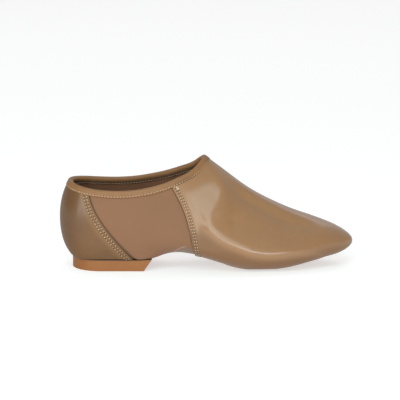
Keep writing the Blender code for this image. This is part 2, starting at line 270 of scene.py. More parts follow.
def laid_sheet(rows, columns, place):
    """A work mesh of cells laid on the shoe, closed at the heel and toe points where it reaches them: place
    turns shares along and across into points."""
    work = bmesh.new()
    bmesh.ops.create_grid(work, x_segments=columns, y_segments=rows, size=0.5)
    shares = np.array([vert.co[:] for vert in work.verts]) + 0.5
    points = place(shares[:, 1], shares[:, 0])
    for vert, (x, y, z) in zip(work.verts, points):
        vert.co = ((x - LENGTH / 2) / 1000, y / 1000, z / 1000)
    bmesh.ops.remove_doubles(work, verts=work.verts, dist=0.000002)
    for end in (DENSE.x[0], DENSE.x[-1]):
        tip = [vert for vert in work.verts if abs(vert.co.x * 1000 + LENGTH / 2 - end) < 0.001]
        if tip:
            bmesh.ops.pointmerge(work, verts=tip, merge_co=tip[0].co)
    bmesh.ops.recalc_face_normals(work, faces=work.faces)
    work.normal_update()
    middle = Vector((0, 0, 0.03))
    if sum((face.calc_center_median() - middle).dot(face.normal) for face in work.faces) < 0:
        bmesh.ops.reverse_faces(work, faces=work.faces)
    return work


def shoe_points(work):
    """The places of a work mesh's points, in millimetres from the heel."""
    return np.array([vert.co[:] for vert in work.verts]) * 1000 + (LENGTH / 2, 0, 0)


def pushed(work, offset):
    """Moves a work mesh along its normals by the offset and by what is drawn in there."""
    work.normal_update()
    for vert, move in zip(work.verts, offset + drawn(shoe_points(work))):
        vert.co += vert.normal * (move / 1000)


def nearest(points, line):
    """For each point the number of the nearest one on a dense line, and the distance to it."""
    tree = KDTree(len(line))
    for number, point in enumerate(line):
        tree.insert(point, number)
    tree.balance()
    found = [tree.find(point)[1:] for point in points]
    return np.array([number for number, _ in found]), np.array([distance for _, distance in found])


def from_seam(points, line):
    """Distances from points to a seam on both sides of the shoe, in millimetres."""
    return nearest(points, both_sides(line))[1]


def on_side(line, side, drop=EDGE_DROP):
    """A side-view line laid on one side of the shoe, below the collar."""
    x, z = line[:, 0], line[:, 1]
    start = np.zeros(len(line))
    share = halving(start, start + 1, lambda trial: skin(x, side * trial)[..., 2] < z)
    points = skin(x, side * share)
    return points[under_collar(points, drop) & (points[..., 2] > section_at(x).bottom + 0.3)]


def resampled(points, pitch):
    """Points at an even pitch along a line, with both ends kept."""
    reach = np.concatenate([[0], np.cumsum(np.linalg.norm(np.diff(points, axis=0), axis=1))])
    places = np.linspace(0, reach[-1], max(2, round(reach[-1] / pitch) + 1))
    return np.column_stack([np.interp(places, reach, column) for column in points.T])


def both_sides(line):
    """A side-view line on both sides of the shoe, as close points."""
    return np.vstack([resampled(on_side(line, side), 0.2) for side in (-1, 1)])


def settle_piece(name, work, material, marks=None):
    """The finished object of a work mesh, smooth-faced, with named marks on its points for the material."""
    mesh = bpy.data.meshes.new(name)
    work.to_mesh(mesh)
    work.free()
    mesh.shade_smooth()
    mesh.set_sharp_from_angle(angle=math.radians(35))
    for mark, values in (marks or {}).items():
        layer = mesh.attributes.new(mark, "FLOAT", "POINT")
        layer.data.foreach_set("value", np.asarray(values, np.float32))
    mesh.materials.append(material)
    piece = bpy.data.objects.new(name, mesh)
    bpy.context.scene.collection.objects.link(piece)
    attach(piece, "root")
    return piece


def thicken(piece, thickness, rim=0.0):
    """Gives a sheet its thickness inwards, and rounds the cut edge."""
    wall = piece.modifiers.new("thickness", "SOLIDIFY")
    wall.thickness = thickness / 1000
    wall.offset = -1.0
    if rim:
        round_off(piece, rim)


def round_off(piece, width):
    """Rounds the sharp edges of a piece."""
    bevel = piece.modifiers.new("rounded", "BEVEL")
    bevel.width = width / 1000
    bevel.segments = 2
    bevel.limit_method = "ANGLE"
    bevel.angle_limit = math.radians(50)


class Finish:
    """One value, colour or vector of a material; sums written with it become shader nodes."""

    def __init__(self, tree, socket=None):
        self.tree = tree
        self.socket = socket

    def node(self, kind, settings=None, sockets=None, out=0):
        """An output of a new node, made with its settings and then its sockets' values or links."""
        made = self.tree.nodes.new(kind)
        for name, value in (settings or {}).items():
            setattr(made, name, value)
        for name, value in (sockets or {}).items():
            self.feed(made.inputs[name], value)
        return Finish(self.tree, made.outputs[out])

    def feed(self, target, value):
        """Links a socket to a value of the material, or sets it to a plain number or colour."""
        if isinstance(value, Finish):
            self.tree.links.new(value.socket, target)
        elif isinstance(value, tuple) and target.type == "RGBA":
            target.default_value = (*value, 1)
        else:
            target.default_value = value

    def sum(self, operation, first, second=0.0):
        """One Math node on one or two values."""
        return self.node("ShaderNodeMath", {"operation": operation}, {0: first, 1: second})

    def __add__(self, other):
        return self.sum("ADD", self, other)

    def __radd__(self, other):
        return self.sum("ADD", other, self)

    def __sub__(self, other):
        return self.sum("SUBTRACT", self, other)

    def __rsub__(self, other):
        return self.sum("SUBTRACT", other, self)

    def __mul__(self, other):
        return self.sum("MULTIPLY", self, other)

    def __rmul__(self, other):
        return self.sum("MULTIPLY", other, self)

    def __abs__(self):
        return self.sum("ABSOLUTE", self)

    def rise(self, start, stop):
        """0 before start, 1 after stop and a soft change between."""
        sockets = {"Value": self, "From Min": start, "From Max": stop}
        return self.node("ShaderNodeMapRange", {"interpolation_type": "SMOOTHSTEP"}, sockets)

    def line(self, middle, half_width):
        """1 on a line at this value, softly 0 half_width away."""
        return 1 - abs(self - middle).rise(0.0, half_width)

    def tint(self, first, second):
        """From the first colour to the second as this value goes from 0 to 1."""
        sockets = {0: self, 6: first, 7: second}
        return self.node("ShaderNodeMix", {"data_type": "RGBA"}, sockets, out=2)

    def noise(self, size, detail=2.0):
        """Cloudy variation of a size in millimetres, where this is a place on the piece."""
        sockets = {"Vector": self, "Scale": 1000 / size, "Detail": detail}
        return self.node("ShaderNodeTexNoise", None, sockets)

    def cells(self, size):
        """Distance to the middle of grains of a size in millimetres."""
        return self.node("ShaderNodeTexVoronoi", None, {"Vector": self, "Scale": 1000 / size})

    def mark(self, name):
        """A named mark on the piece's points."""
        return self.node("ShaderNodeAttribute", {"attribute_name": name}, out=2)

    def relief(self, height, depth, below=None):
        """A bump, depth millimetres high where the pattern is 1, on top of another if one is given."""
        sockets = {"Height": height, "Distance": depth / 1000, "Strength": 1.0}
        if below:
            sockets["Normal"] = below
        return self.node("ShaderNodeBump", None, sockets)


def new_finish(name):
    """A new material's shader, and the place on the piece that its patterns read."""
    material = bpy.data.materials.new(name)
    material.use_nodes = True
    tree = material.node_tree
    shader = tree.nodes["Principled BSDF"]
    place = Finish(tree).node("ShaderNodeTexCoord", out=3)
    return material, shader, place


def dress(shader, place, **values):
    """Sets or links the shader's sockets by name."""
    for name, value in values.items():
        place.feed(shader.inputs[name.replace("_", " ")], value)


def gore_place(along, across):
    """From the back seam to the front one, and from the outer collar under the arch to the inner one."""
    side = np.where(across < 0.5, -1.0, 1.0)
    rise = np.abs(2 * across - 1)
    places = np.linspace(10, 120, 221)
    outer, inner = (collar_share(places, turn, EDGE_DROP) for turn in (-1.0, 1.0))
    x = 60 + 40 * along
    for _ in range(30):
        edge = np.where(side < 0, np.interp(x, places, outer), np.interp(x, places, inner))
        share = 1 - rise * (1 - edge)
        z = skin(x, side * share)[..., 2]
        back = seam_place(BACK_LINE, z) - GORE_LAP
        front = seam_place(FRONT_LINE, z) + GORE_LAP
        x = 0.5 * x + 0.5 * (back + (front - back) * along)
    return skin(x, side * share)


gore_work = laid_sheet(110, 180, gore_place)
gore_points = shoe_points(gore_work)
gore_x, _, gore_z = gore_points.T
shadow_width = 1 + 1.2 * (1 - soft_step(gore_z, 12.0, 42.0))
to_back = from_seam(gore_points, BACK_LINE) / shadow_width
gore_seams = np.minimum(from_seam(gore_points, FRONT_LINE), to_back)
gore_arch = across_line(gore_x, gore_z, ARCH_LINE)
# Just ahead of the counter no leather covers the gore, and it stands out to the top edge of the heel.
on_heel = soft_step(gore_x - seam_place(BACK_LINE, gore_z), 1.0, 5.0) * (1 - soft_step(gore_z, 10.0, 17.0))
on_heel *= 1 - soft_step(gore_x, 80.0, 92.0)
pushed(gore_work, GORE_OUTSIDE + (GORE_ON_HEEL - GORE_OUTSIDE) * on_heel)

gore_look, shader, place = new_finish("stretch_gore")
seam = place.mark("seam_mm")
cloud = place.noise(38, 3)
knit = place.cells(0.55)
tan = cloud.rise(0.25, 0.8).tint(GORE_SHADE, GORE_TAN)
arch = place.mark("arch_mm")
# Painted shade: below the arch line the gore takes a shaded grey-brown.
tan = (1 - arch.rise(-0.4, 0.2)).tint(tan, ARCH_SHADE_GREY)
along = place.node("ShaderNodeSeparateXYZ", None, {"Vector": place}, out=0)
# Painted highlight: a pale line along the arch fold, on its rear part only.
tan = (arch.line(0.3, 0.7) * (1 - along.rise(-0.019, -0.016)) * 0.7).tint(tan, ARCH_FOLD_HIGHLIGHT)
tan = (0.75 - 0.75 * seam.rise(0.2, 1.6)).tint(tan, SEAM_SHADOW)
dress(shader, place, Base_Color=tan, Roughness=0.72 + 0.12 * cloud, Normal=place.relief(knit, 0.05))
dress(shader, place, Specular_IOR_Level=0.3, Sheen_Weight=0.12, Sheen_Roughness=0.5)

gore = settle_piece("stretch_gore", gore_work, gore_look, {"seam_mm": gore_seams, "arch_mm": gore_arch})
thicken(gore, GORE_THICK)
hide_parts("upper")

# Lining. Thin brown fabric sewn to the inside of the whole upper; its edge is caught in the collar binding.
# It is the dark inside that shows through the collar.
LINING_INSIDE = -2.8
LINING_THICK = 0.5
LINING_BROWN = (0.160, 0.069, 0.036)
LINING_WORN = (0.182, 0.082, 0.046)


def collar_ends(drop):
    """Where along the foot the moved collar meets the back of the heel and the top of the instep."""
    def open_above(x):
        return section_at(x).top > collar_height(x, drop)

    back = halving(np.array(2.0), np.array(30.0), open_above)
    front = halving(np.array(100.0), np.array(140.0), lambda x: ~open_above(x))
    return float(back), float(front)


collar_back, collar_front = collar_ends(EDGE_DROP)


def lining_place(along, across):
    """From the heel to the toe, and from one edge of the collar under the foot to the other."""
    side = np.where(across < 0.5, -1.0, 1.0)
    heel, throat, toe = 0.14, 0.62, 1.0
    at_heel = collar_back * (along / heel) ** 2
    turn = np.clip((along - heel) / (throat - heel), 0, 1) * math.pi
    at_collar = collar_back + (collar_front - collar_back) * (0.5 - 0.5 * np.cos(turn))
    ahead = np.clip((along - throat) / (toe - throat), 0, 1)
    at_toe = collar_front + (DENSE.x[-1] - collar_front) * (1 - (1 - ahead) ** 1.8)
    x = np.where(along < heel, at_heel, np.where(along < throat, at_collar, at_toe))
    x = np.clip(x, DENSE.x[0], DENSE.x[-1])
    edge = collar_share(x, side, EDGE_DROP)
    return skin(x, side * (edge + (1 - edge) * (1 - np.abs(2 * across - 1))))


lining_work = laid_sheet(130, 120, lining_place)
pushed(lining_work, LINING_INSIDE)
bmesh.ops.reverse_faces(lining_work, faces=lining_work.faces)

lining_look, shader, place = new_finish("brown_lining")
cloud = place.noise(22, 3)
weave = place.cells(0.8)
brown = cloud.rise(0.3, 0.75).tint(LINING_BROWN, LINING_WORN)
dress(shader, place, Base_Color=brown, Roughness=0.85 + 0.1 * cloud, Normal=place.relief(weave, 0.12))
dress(shader, place, Specular_IOR_Level=0.25)

lining = settle_piece("lining", lining_work, lining_look)
thicken(lining, LINING_THICK)
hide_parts("upper")

# Vamp. One piece of soft leather from the throat over the instep and toes, pulled under the forefoot and
# left open there for the pad. Its back edges are cut raw and sewn down on the gore.
BINDING_HEIGHT = 6.0
TUCK = 0.8
BALL_OPENING = (184.0, 42.0, 15.0)
LEATHER = 1.0
VAMP_TAN = (0.251, 0.125, 0.053)
VAMP_PALE_AND_HIGHLIGHT = (0.264, 0.134, 0.058)
VAMP_SHADE = (0.140, 0.066, 0.027)
VAMP_SHINE = 0.74
RAW_EDGE = 0.2
FRONT_ROWS = (2.1, 4.0)


def opened(x, opening):
    """Share of the way round that the leather reaches, less over a long opening in the tread."""
    middle, reach, half_width = opening
    gap = half_width * np.maximum(0, 1 - ((x - middle) / reach) ** 2)
    return 1 - (1 - SIDE_SHARE) * gap / np.maximum(section_at(x).flat, 1.0)


def on_vamp(x, around):
    """Whether a place belongs to the vamp: ahead of the front seam and below the binding."""
    points = skin(x, around)
    ahead = x > seam_place(FRONT_LINE, points[..., 2])
    return ahead & under_collar(points, BINDING_HEIGHT - TUCK)


def vamp_place(along, across):
    """From the back edge to the toe, and from under the foot over the instep to under it again."""
    around = 2 * across - 1
    rearmost = np.full(len(across), 84.0)
    rear = halving(rearmost, rearmost + 66, lambda x: on_vamp(x, around))
    x = rear + (DENSE.x[-1] - rear) * (1 - (1 - along) ** 1.4)
    return skin(x, around * opened(x, BALL_OPENING))


vamp_work = laid_sheet(160, 240, vamp_place)
vamp_points = shoe_points(vamp_work)
vamp_x, _, vamp_z = vamp_points.T
vamp_seam = from_seam(vamp_points, FRONT_LINE)
# Painted shade for the low mark: darker below the instep ridge low on the side, and low round the toe.
shade_under_ridge = soft_step(-eased_across(vamp_x, vamp_z, RIDGE_LINE), 2.0, 9.0)
shade_under_ridge *= 1 - soft_step(vamp_z, 30.0, 42.0)
shade_low_on_toe = soft_step(vamp_x, 204.0, 232.0) * (1 - soft_step(vamp_z, 15.0, 24.0))
vamp_painted_shade = np.maximum(shade_under_ridge, 0.85 * shade_low_on_toe)
clear_of_seam = soft_step(vamp_seam / (7.0 + 3.0 * soft_step(vamp_z, 58.0, 74.0)), 0.65, 1.0)
bent_ridge = hump(vamp_x, 147.0, 13.0) * hump(vamp_z, 28.0, 12.0)
vamp_gloss = clear_of_seam * (1 - 0.8 * vamp_painted_shade) * (1 - 0.3 * bent_ridge)
pushed(vamp_work, 0.0)


def leather(name, pale_and_highlight, tan, shade, rows, shine):
    """Smooth tan leather with a soft shine, a fine grain, a raw edge, sunk rows of stitching and painted
    light and shade.
    """
    material, shader, place = new_finish(name)
    seam = place.mark("seam_mm")
    cloud = place.noise(30, 4)
    fine = place.noise(3.2, 3)
    grain = place.cells(0.7)
    colour = (cloud.rise(0.3, 0.75) * 0.5).tint(tan, pale_and_highlight)
    # Painted highlight: paler beside the seam, fading out by 11 mm.
    colour = (0.9 - 0.9 * seam.rise(4.0, 11.0)).tint(colour, pale_and_highlight)
    colour = (fine.rise(0.5, 0.8) * 0.14).tint(colour, shade)
    # Painted shade where the low mark is 1.
    colour = (0.68 * place.mark("low")).tint(colour, shade)
    # Painted seam shadow on the raw edge.
    colour = (0.7 - 0.7 * seam.rise(0.0, 0.45)).tint(colour, SEAM_SHADOW)
    sunk = seam.line(rows[0], 0.9) + seam.line(rows[1], 0.9)
    # Painted shade in the sunk stitch rows, on top of their real bump.
    colour = (sunk * 0.5).tint(colour, shade)
    bump = place.relief(1 - sunk, 0.25, place.relief(grain, 0.012, place.relief(fine, 0.03)))
    dress(shader, place, Base_Color=colour, Roughness=0.42 + 0.1 * cloud + 0.06 * fine, Normal=bump)
    dress(shader, place, Coat_Weight=0.06 + shine * place.mark("gloss"), Coat_Roughness=0.2)
    dress(shader, place, Specular_IOR_Level=0.3)
    return material


vamp_look = leather("vamp_leather", VAMP_PALE_AND_HIGHLIGHT, VAMP_TAN, VAMP_SHADE, FRONT_ROWS, VAMP_SHINE)
vamp_marks = {"seam_mm": vamp_seam, "low": vamp_painted_shade, "gloss": vamp_gloss}
vamp = settle_piece("leather_vamp", vamp_work, vamp_look, vamp_marks)
thicken(vamp, LEATHER, RAW_EDGE)
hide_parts("vamp")

# Counter. The same leather, skived thinner and cupped round the heel in one piece, open under the heel
# seat, with its raw front edges sewn down on the gore.
SEAT_OPENING = (40.0, 17.0, 15.0)
COUNTER_SKIVED = 0.65
# These are the vamp's leather painted darker, a shaded copy for the shade round the heel.
COUNTER_SHADED_TAN = (0.120, 0.050, 0.012)
COUNTER_PALE_AND_HIGHLIGHT = (0.190, 0.091, 0.030)
COUNTER_SHADE = (0.075, 0.035, 0.013)
COUNTER_SHINE = 0.45
BACK_ROWS = (2.0, 4.5)


def off_counter(x, around):
    """Whether a place is off the counter: ahead of the back seam or above the lower edge of the binding."""
    points = skin(x, around)
    ahead = x > seam_place(BACK_LINE, points[..., 2])
    return ahead | ~under_collar(points, BINDING_HEIGHT - TUCK)


def counter_place(along, across):
    """From the heel point to the front edge, and from under the foot up over the back and down again."""
    around = 2 * across - 1
    start = np.full(len(across), DENSE.x[0])
    front = halving(start, start + 90, lambda x: off_counter(x, around * opened(x, SEAT_OPENING)))
    x = start + (front - start) * along**2
    return skin(x, around * opened(x, SEAT_OPENING))


counter_work = laid_sheet(90, 220, counter_place)
counter_points = shoe_points(counter_work)
counter_x, _, counter_z = counter_points.T
counter_seam = from_seam(counter_points, BACK_LINE)
# Painted shade for the low mark: darker towards the sole and round the back of the heel.
shade_by_sole = 0.35 - 0.35 * soft_step(counter_z, 10.0, 28.0)
shade_at_back = 0.7 - 0.7 * soft_step(counter_x, 4.0, 30.0)
counter_painted_shade = np.maximum(shade_by_sole, shade_at_back)
counter_gloss = soft_step(counter_seam, 4.6, 7.0) * (1 - soft_step(counter_seam, 14.0, 38.0))
pushed(counter_work, 0.0)

counter_shaded_tans = COUNTER_PALE_AND_HIGHLIGHT, COUNTER_SHADED_TAN, COUNTER_SHADE
counter_look = leather("counter_leather", *counter_shaded_tans, BACK_ROWS, COUNTER_SHINE)
counter_marks = {"seam_mm": counter_seam, "low": counter_painted_shade, "gloss": counter_gloss}
counter = settle_piece("leather_counter", counter_work, counter_look, counter_marks)
thicken(counter, COUNTER_SKIVED, RAW_EDGE)
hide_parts("counter")

# Collar binding. A strip of the same soft leather folded over the top edge of the upper all round, through
# the throat and over the back, and held by one row of stitching through both legs.
BINDING_TAN = (0.208, 0.100, 0.040)
BINDING_LIGHT = (0.230, 0.112, 0.047)
BINDING_SHADE = (0.143, 0.066, 0.025)
BINDING_INSIDE_SHADE = (0.052, 0.024, 0.012)
# The strip's section as pairs of how far it stands out of the upper and how far it is below the edge: the
# outer leg, the fold, the inner leg and back round the faces that grip the upper.
BINDING_PROFILE = [
    (-1.05, 5.80), (-0.60, 6.12), (-0.05, 6.10), (0.28, 5.75), (0.42, 5.10), (0.52, 3.60),
    (0.52, 2.10), (0.40, 1.05), (0.05, 0.35), (-0.75, -0.02), (-1.90, -0.12), (-3.00, -0.02),
    (-3.75, 0.35), (-4.05, 1.05), (-4.10, 2.60), (-4.10, 4.40), (-4.02, 5.50), (-3.72, 6.02),
    (-3.15, 5.85), (-3.05, 3.50), (-2.95, 1.40), (-2.05, 1.05), (-1.15, 1.40), (-1.05, 3.50),
]


def collar_loop(pitch):
    """Even points round the collar's top edge, from the back along the outer side, and round again."""
    back, front = collar_ends(0.0)
    turn = np.linspace(0, 2 * math.pi, 1601)
    x = (back + front) / 2 - (front - back) / 2 * np.cos(turn)
    side = np.where(turn < math.pi, -1.0, 1.0)
    return resampled(skin(x, side * collar_share(x, side, 0.0)), pitch)[:-1]


def level(points):
    """How far out points lie: 0 on the outside of the shoe and less than 0 inside it."""
    x, y, z = np.moveaxis(points, -1, 0)
    s = section_at(x)
    across = np.abs(y - s.centre)
    width = np.where(y < s.centre, s.lateral, s.medial)
    up = np.maximum(z - s.waist, 0) / (s.top - s.waist)
    down = np.maximum(s.waist - z, 0) / (s.waist - s.bottom)
    past = np.maximum(across - s.flat, 0) / (width - s.flat)
    return np.where(z > s.waist, (across / width) ** s.crown + up**s.crown, past**2 + down**2) - 1


def slope(points):
    """The direction and rate in which level grows."""
    parts = []
    for step in np.eye(3) * 0.05:
        parts.append((level(points + step) - level(points - step)) / 0.1)
    return np.stack(parts, axis=-1)


def outward(points):
    """Unit normals of the shoe's outside."""
    grown = slope(points)
    return grown / np.linalg.norm(grown, axis=-1, keepdims=True)


def settled(points):
    """Points near the shoe moved onto its outside."""
    for _ in range(4):
        grown = slope(points)
        points = points - grown * (level(points) / (grown**2).sum(axis=-1))[..., None]
    return points


def run_frame(points, closed):
    """Directions along a line on the shoe, out of the shoe, and square to both."""
    if closed:
        along = np.roll(points, -1, axis=0) - np.roll(points, 1, axis=0)
    else:
        along = np.gradient(points, axis=0)
    along /= np.linalg.norm(along, axis=1)[:, None]
    out = outward(points)
    square = np.cross(along, out)
    square /= np.linalg.norm(square, axis=1)[:, None]
    return along, np.cross(square, along), square


def beside_line(points, distance, closed=False):
    """A line moved along the surface of the shoe, square to itself."""
    square = run_frame(points, closed)[2]
    return settled(points + square * distance)


collar_edge = collar_loop(0.8)
collar_down = -np.sign(run_frame(collar_edge, True)[2][:, 2].mean())


def binding_place(along, across):
    """Round the collar, and round the folded strip's section."""
    around, out, square = run_frame(collar_edge, True)
    number = np.rint(along * len(collar_edge)).astype(int) % len(collar_edge)
    rows = np.array([BINDING_PROFILE[-1], *BINDING_PROFILE, *BINDING_PROFILE[:2]])
    profile = catmull(rows, across * len(BINDING_PROFILE))
    stand, drop = profile[:, 0], profile[:, 1]
    base = collar_edge[number] + square[number] * (collar_down * drop)[:, None]
    lower = settled(base)
    base = np.where((drop > 0)[:, None], lower, base)
    normal = np.where((drop > 0)[:, None], outward(lower), out[number])
    return base + normal * (stand + drawn(base))[:, None]


def low_inside(points):
    """1 low on the strip's inner leg, which the collar shades, and softly 0 elsewhere."""
    number = nearest(points, collar_edge)[0]
    around, out, square = run_frame(collar_edge, True)
    away = points - collar_edge[number]
    inward = -(away * out[number]).sum(axis=1)
    drop = collar_down * (away * square[number]).sum(axis=1)
    return soft_step(inward, 2.6, 3.8) * soft_step(drop, 1.8, 3.2)


binding_work = laid_sheet(len(collar_edge), 48, binding_place)
bmesh.ops.recalc_face_normals(binding_work, faces=binding_work.faces)
binding_inside_shade = low_inside(shoe_points(binding_work))

binding_look, shader, place = new_finish("binding_leather")
cloud = place.noise(16, 3)
fine = place.noise(2.4, 3)
grain = place.cells(0.7)
colour = cloud.rise(0.3, 0.75).tint(BINDING_TAN, BINDING_LIGHT)
colour = (fine.rise(0.5, 0.8) * 0.3).tint(colour, BINDING_SHADE)
# Painted shade low on the strip's inner leg.
colour = (0.85 * place.mark("inside")).tint(colour, BINDING_INSIDE_SHADE)
bump = place.relief(grain, 0.02, place.relief(fine, 0.08))
dress(shader, place, Base_Color=colour, Roughness=0.45 + 0.1 * cloud, Normal=bump)
dress(shader, place, Specular_IOR_Level=0.25)

binding = settle_piece("folded_binding", binding_work, binding_look, {"inside": binding_inside_shade})
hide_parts("collar_binding")

# Seam thread. Cream polyester thread in short lockstitches: a double row beside each raw leather edge, one
# row round the binding outside and in, and a bar tack where each front seam runs under the binding.
SEAM_STITCH = (1.6, 0.75, 0.56)
BINDING_STITCH = (1.7, 0.50, 0.44)
TACK_STITCH = (2.2, 0.60, 0.60)
SEAM_HOLE = (1.2, 1.0, 0.34)
BINDING_HOLE = (0.5, 0.32, 0.20)
HOLE_SUNK = 0.06
FRONT_PITCH = 2.6
BACK_PITCH = 2.7
BINDING_PITCH = 2.6
BINDING_ROW = 5.2
SEAM_STAND = 0.14
TACK_STAND = 0.3
BINDING_STAND = 0.42
BINDING_INNER_STAND = -4.1
THREAD_CREAM = (0.600, 0.465, 0.315)
THREAD_SHADE = (0.430, 0.310, 0.195)
HOLE_SHADE_BROWN = (0.060, 0.034, 0.022)
thread_places = []
hole_places = []


def stitch_place(spot, directions, size):
    """Where one bead goes: its sizes along, beside and out of the leather, turned and moved to its spot."""
    turned = np.column_stack([np.array(directions).T * size, spot - (LENGTH / 2, 0, 0)]) / 1000
    return Matrix([*turned.tolist(), (0, 0, 0, 1)])


def copies(places):
    """A work mesh of many small beads joined, one stretched into each place."""
    ball = bmesh.new()
    ball.loops.layers.uv.new("thread")
    lying = Matrix.Rotation(math.pi / 2, 4, "Y")
    bmesh.ops.create_uvsphere(ball, u_segments=8, v_segments=6, radius=0.5, calc_uvs=True, matrix=lying)
    bead = bpy.data.meshes.new("bead")
    ball.to_mesh(bead)
    ball.free()
    work = bmesh.new()
    for place in places:
        placed = bead.copy()
        placed.transform(place)
        work.from_mesh(placed)
        bpy.data.meshes.remove(placed)
    bpy.data.meshes.remove(bead)
    return work


def sew(line, pitch, size, hole, stand, closed=False):
    """A row of stitches along a line on the shoe, each sunk at its ends into a needle hole."""
    points = resampled(line, pitch)
    if closed:
        points = points[:-1]
    along, out, square = run_frame(points, closed)
    raised = points + out * (stand + drawn(points))[:, None]
    for k in range(len(points)):
        directions = (along[k], -square[k], out[k])
        thread_places.append(stitch_place(raised[k], directions, size))
        between = raised[k] + along[k] * (pitch / 2) - out[k] * HOLE_SUNK
        hole_places.append(stitch_place(between, directions, hole))


def tack(line):
    """A bar tack: close stitches across the start of a row."""
    points = resampled(line, 0.5)[1:7]
    along, out, square = run_frame(points, False)
    raised = points + out * (TACK_STAND + drawn(points))[:, None]
    for k in range(len(points)):
        thread_places.append(stitch_place(raised[k], (square[k], along[k], out[k]), TACK_STITCH))


for side in (-1, 1):
    front_edge = resampled(on_side(FRONT_LINE, side, BINDING_HEIGHT + 0.3), 1.0)
    back_edge = resampled(on_side(BACK_LINE, side, BINDING_HEIGHT + 0.3), 1.0)
    ahead = 1.0 if beside_line(front_edge, 1.0)[20][0] > front_edge[20][0] else -1.0
    behind = -1.0 if beside_line(back_edge, 1.0)[20][0] > back_edge[20][0] else 1.0
    for row in FRONT_ROWS:
        sew(beside_line(front_edge, ahead * row), FRONT_PITCH, SEAM_STITCH, SEAM_HOLE, SEAM_STAND)
    for row in BACK_ROWS:
        sew(beside_line(back_edge, behind * row), BACK_PITCH, SEAM_STITCH, SEAM_HOLE, SEAM_STAND)
    tack(beside_line(front_edge, ahead * FRONT_ROWS[1]))

binding_row = beside_line(collar_edge, collar_down * BINDING_ROW, True)
binding_row = np.vstack([binding_row, binding_row[:1]])
for stand in (BINDING_STAND, BINDING_INNER_STAND):
    sew(binding_row, BINDING_PITCH, BINDING_STITCH, BINDING_HOLE, stand, True)

thread_look, shader, place = new_finish("cream_thread")
twist = place.node("ShaderNodeTexCoord", out=2)
ply = {"Vector": twist, "Scale": 6.0}
strand = twist.node("ShaderNodeTexWave", {"bands_direction": "DIAGONAL"}, ply, out=1)
cream = strand.tint(THREAD_SHADE, THREAD_CREAM)
dress(shader, place, Base_Color=cream, Roughness=0.6 + 0.1 * strand, Normal=place.relief(strand, 0.08))
thread = settle_piece("seam_thread", copies(thread_places), thread_look)

# Needle holes: dark beads sunk between the stitches, painted shade for the holes.
hole_shade_look, shader, place = new_finish("needle_hole_shade")
dress(shader, place, Base_Color=place.noise(1.0).tint(HOLE_SHADE_BROWN, SEAM_SHADOW), Roughness=0.9)
holes = settle_piece("needle_hole_shade", copies(hole_places), hole_shade_look)

# Insole. A thin board covered in brown sock cloth, cut to the tread from the heel to the toes and glued in
# on the lining.
INSOLE_BACK, INSOLE_FRONT, INSOLE_THICK = 16.0, 235.0, 1.5
SOCK_BROWN = (0.150, 0.095, 0.062)
SOCK_WORN = (0.225, 0.150, 0.102)


def rounded_ends(x, start, stop, back_reach, front_reach):
    """Share of the full width left near the two rounded ends of a plate."""
    from_back = np.maximum(0, 1 - (x - start) / back_reach)
    from_front = np.maximum(0, 1 - (stop - x) / front_reach)
    return np.sqrt(np.maximum(0, 1 - from_back**2) * np.maximum(0, 1 - from_front**2))


def tread_height(x, y):
    """Height of the leather's underside at a place on the tread."""
    s = section_at(x)
    width = np.where(y > s.centre, s.medial, s.lateral)
    past = np.clip((np.abs(y - s.centre) - s.flat) / (width - s.flat), 0, 1)
    return s.waist - (s.waist - s.bottom) * np.sqrt(1 - past**2)


def plate(rows, columns, start, stop, edges, under, over):
    """A closed plate: a grid drawn out to the rounded outline, with heights for its two faces."""
    work = bmesh.new()
    bmesh.ops.create_grid(work, x_segments=columns, y_segments=rows, size=0.5)
    shares = np.array([vert.co[:] for vert in work.verts]) + 0.5
    x = start + (stop - start) * (0.5 - 0.5 * np.cos(math.pi * np.clip(shares[:, 1], 0.006, 0.994)))
    lateral, medial = edges(x)
    y = lateral + (medial - lateral) * shares[:, 0]
    for vert, spot in zip(work.verts, np.column_stack([x - LENGTH / 2, y, under(x, y)]) / 1000):
        vert.co = spot
    drawn_up = bmesh.ops.extrude_face_region(work, geom=work.faces[:])["geom"]
    upper_face = [item for item in drawn_up if isinstance(item, bmesh.types.BMVert)]
    for vert in upper_face:
        x, y = vert.co.x * 1000 + LENGTH / 2, vert.co.y * 1000
        vert.co.z = float(over(x, y)) / 1000
    bmesh.ops.recalc_face_normals(work, faces=work.faces)
    return work


def insole_edges(x):
    """The insole's outer and inner edge, a little inside the tread."""
    s = section_at(x)
    half = np.minimum(np.minimum(s.flat, s.lateral - 7.5), s.medial - 7.5)
    half = half * rounded_ends(x, INSOLE_BACK, INSOLE_FRONT, 22.0, 8.0)
    return s.centre - half, s.centre + half


def insole_face(lift):
    """A face of the insole, lifted off the lining."""
    return lambda x, y: tread_height(x, y) - LINING_INSIDE + 0.5 + lift


insole_faces = insole_face(0.0), insole_face(INSOLE_THICK)
insole_work = plate(90, 20, INSOLE_BACK, INSOLE_FRONT, insole_edges, *insole_faces)
insole_look, shader, place = new_finish("sock_cloth")
cloud = place.noise(26, 3)
weave = place.cells(0.9)
colour = cloud.rise(0.3, 0.75).tint(SOCK_BROWN, SOCK_WORN)
dress(shader, place, Base_Color=colour, Roughness=0.88 + 0.08 * cloud, Normal=place.relief(weave, 0.12))
insole = settle_piece("sock_insole", insole_work, insole_look)
round_off(insole, 0.4)
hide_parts("insole")

# Forefoot pad. A thin moulded pad of brown rubber cemented under the ball and toes, with a worn level
# patch where the shoe stands on the floor.
PAD_BACK, PAD_FRONT, PAD_SHARE = 133.0, 232.0, 0.5
PAD_THICK, PAD_THIN, PAD_TAPER = 1.6, 0.8, 40.0
JOINT = 0.3
PAD_BROWN = (0.235, 0.135, 0.080)
PAD_WORN = (0.300, 0.180, 0.112)


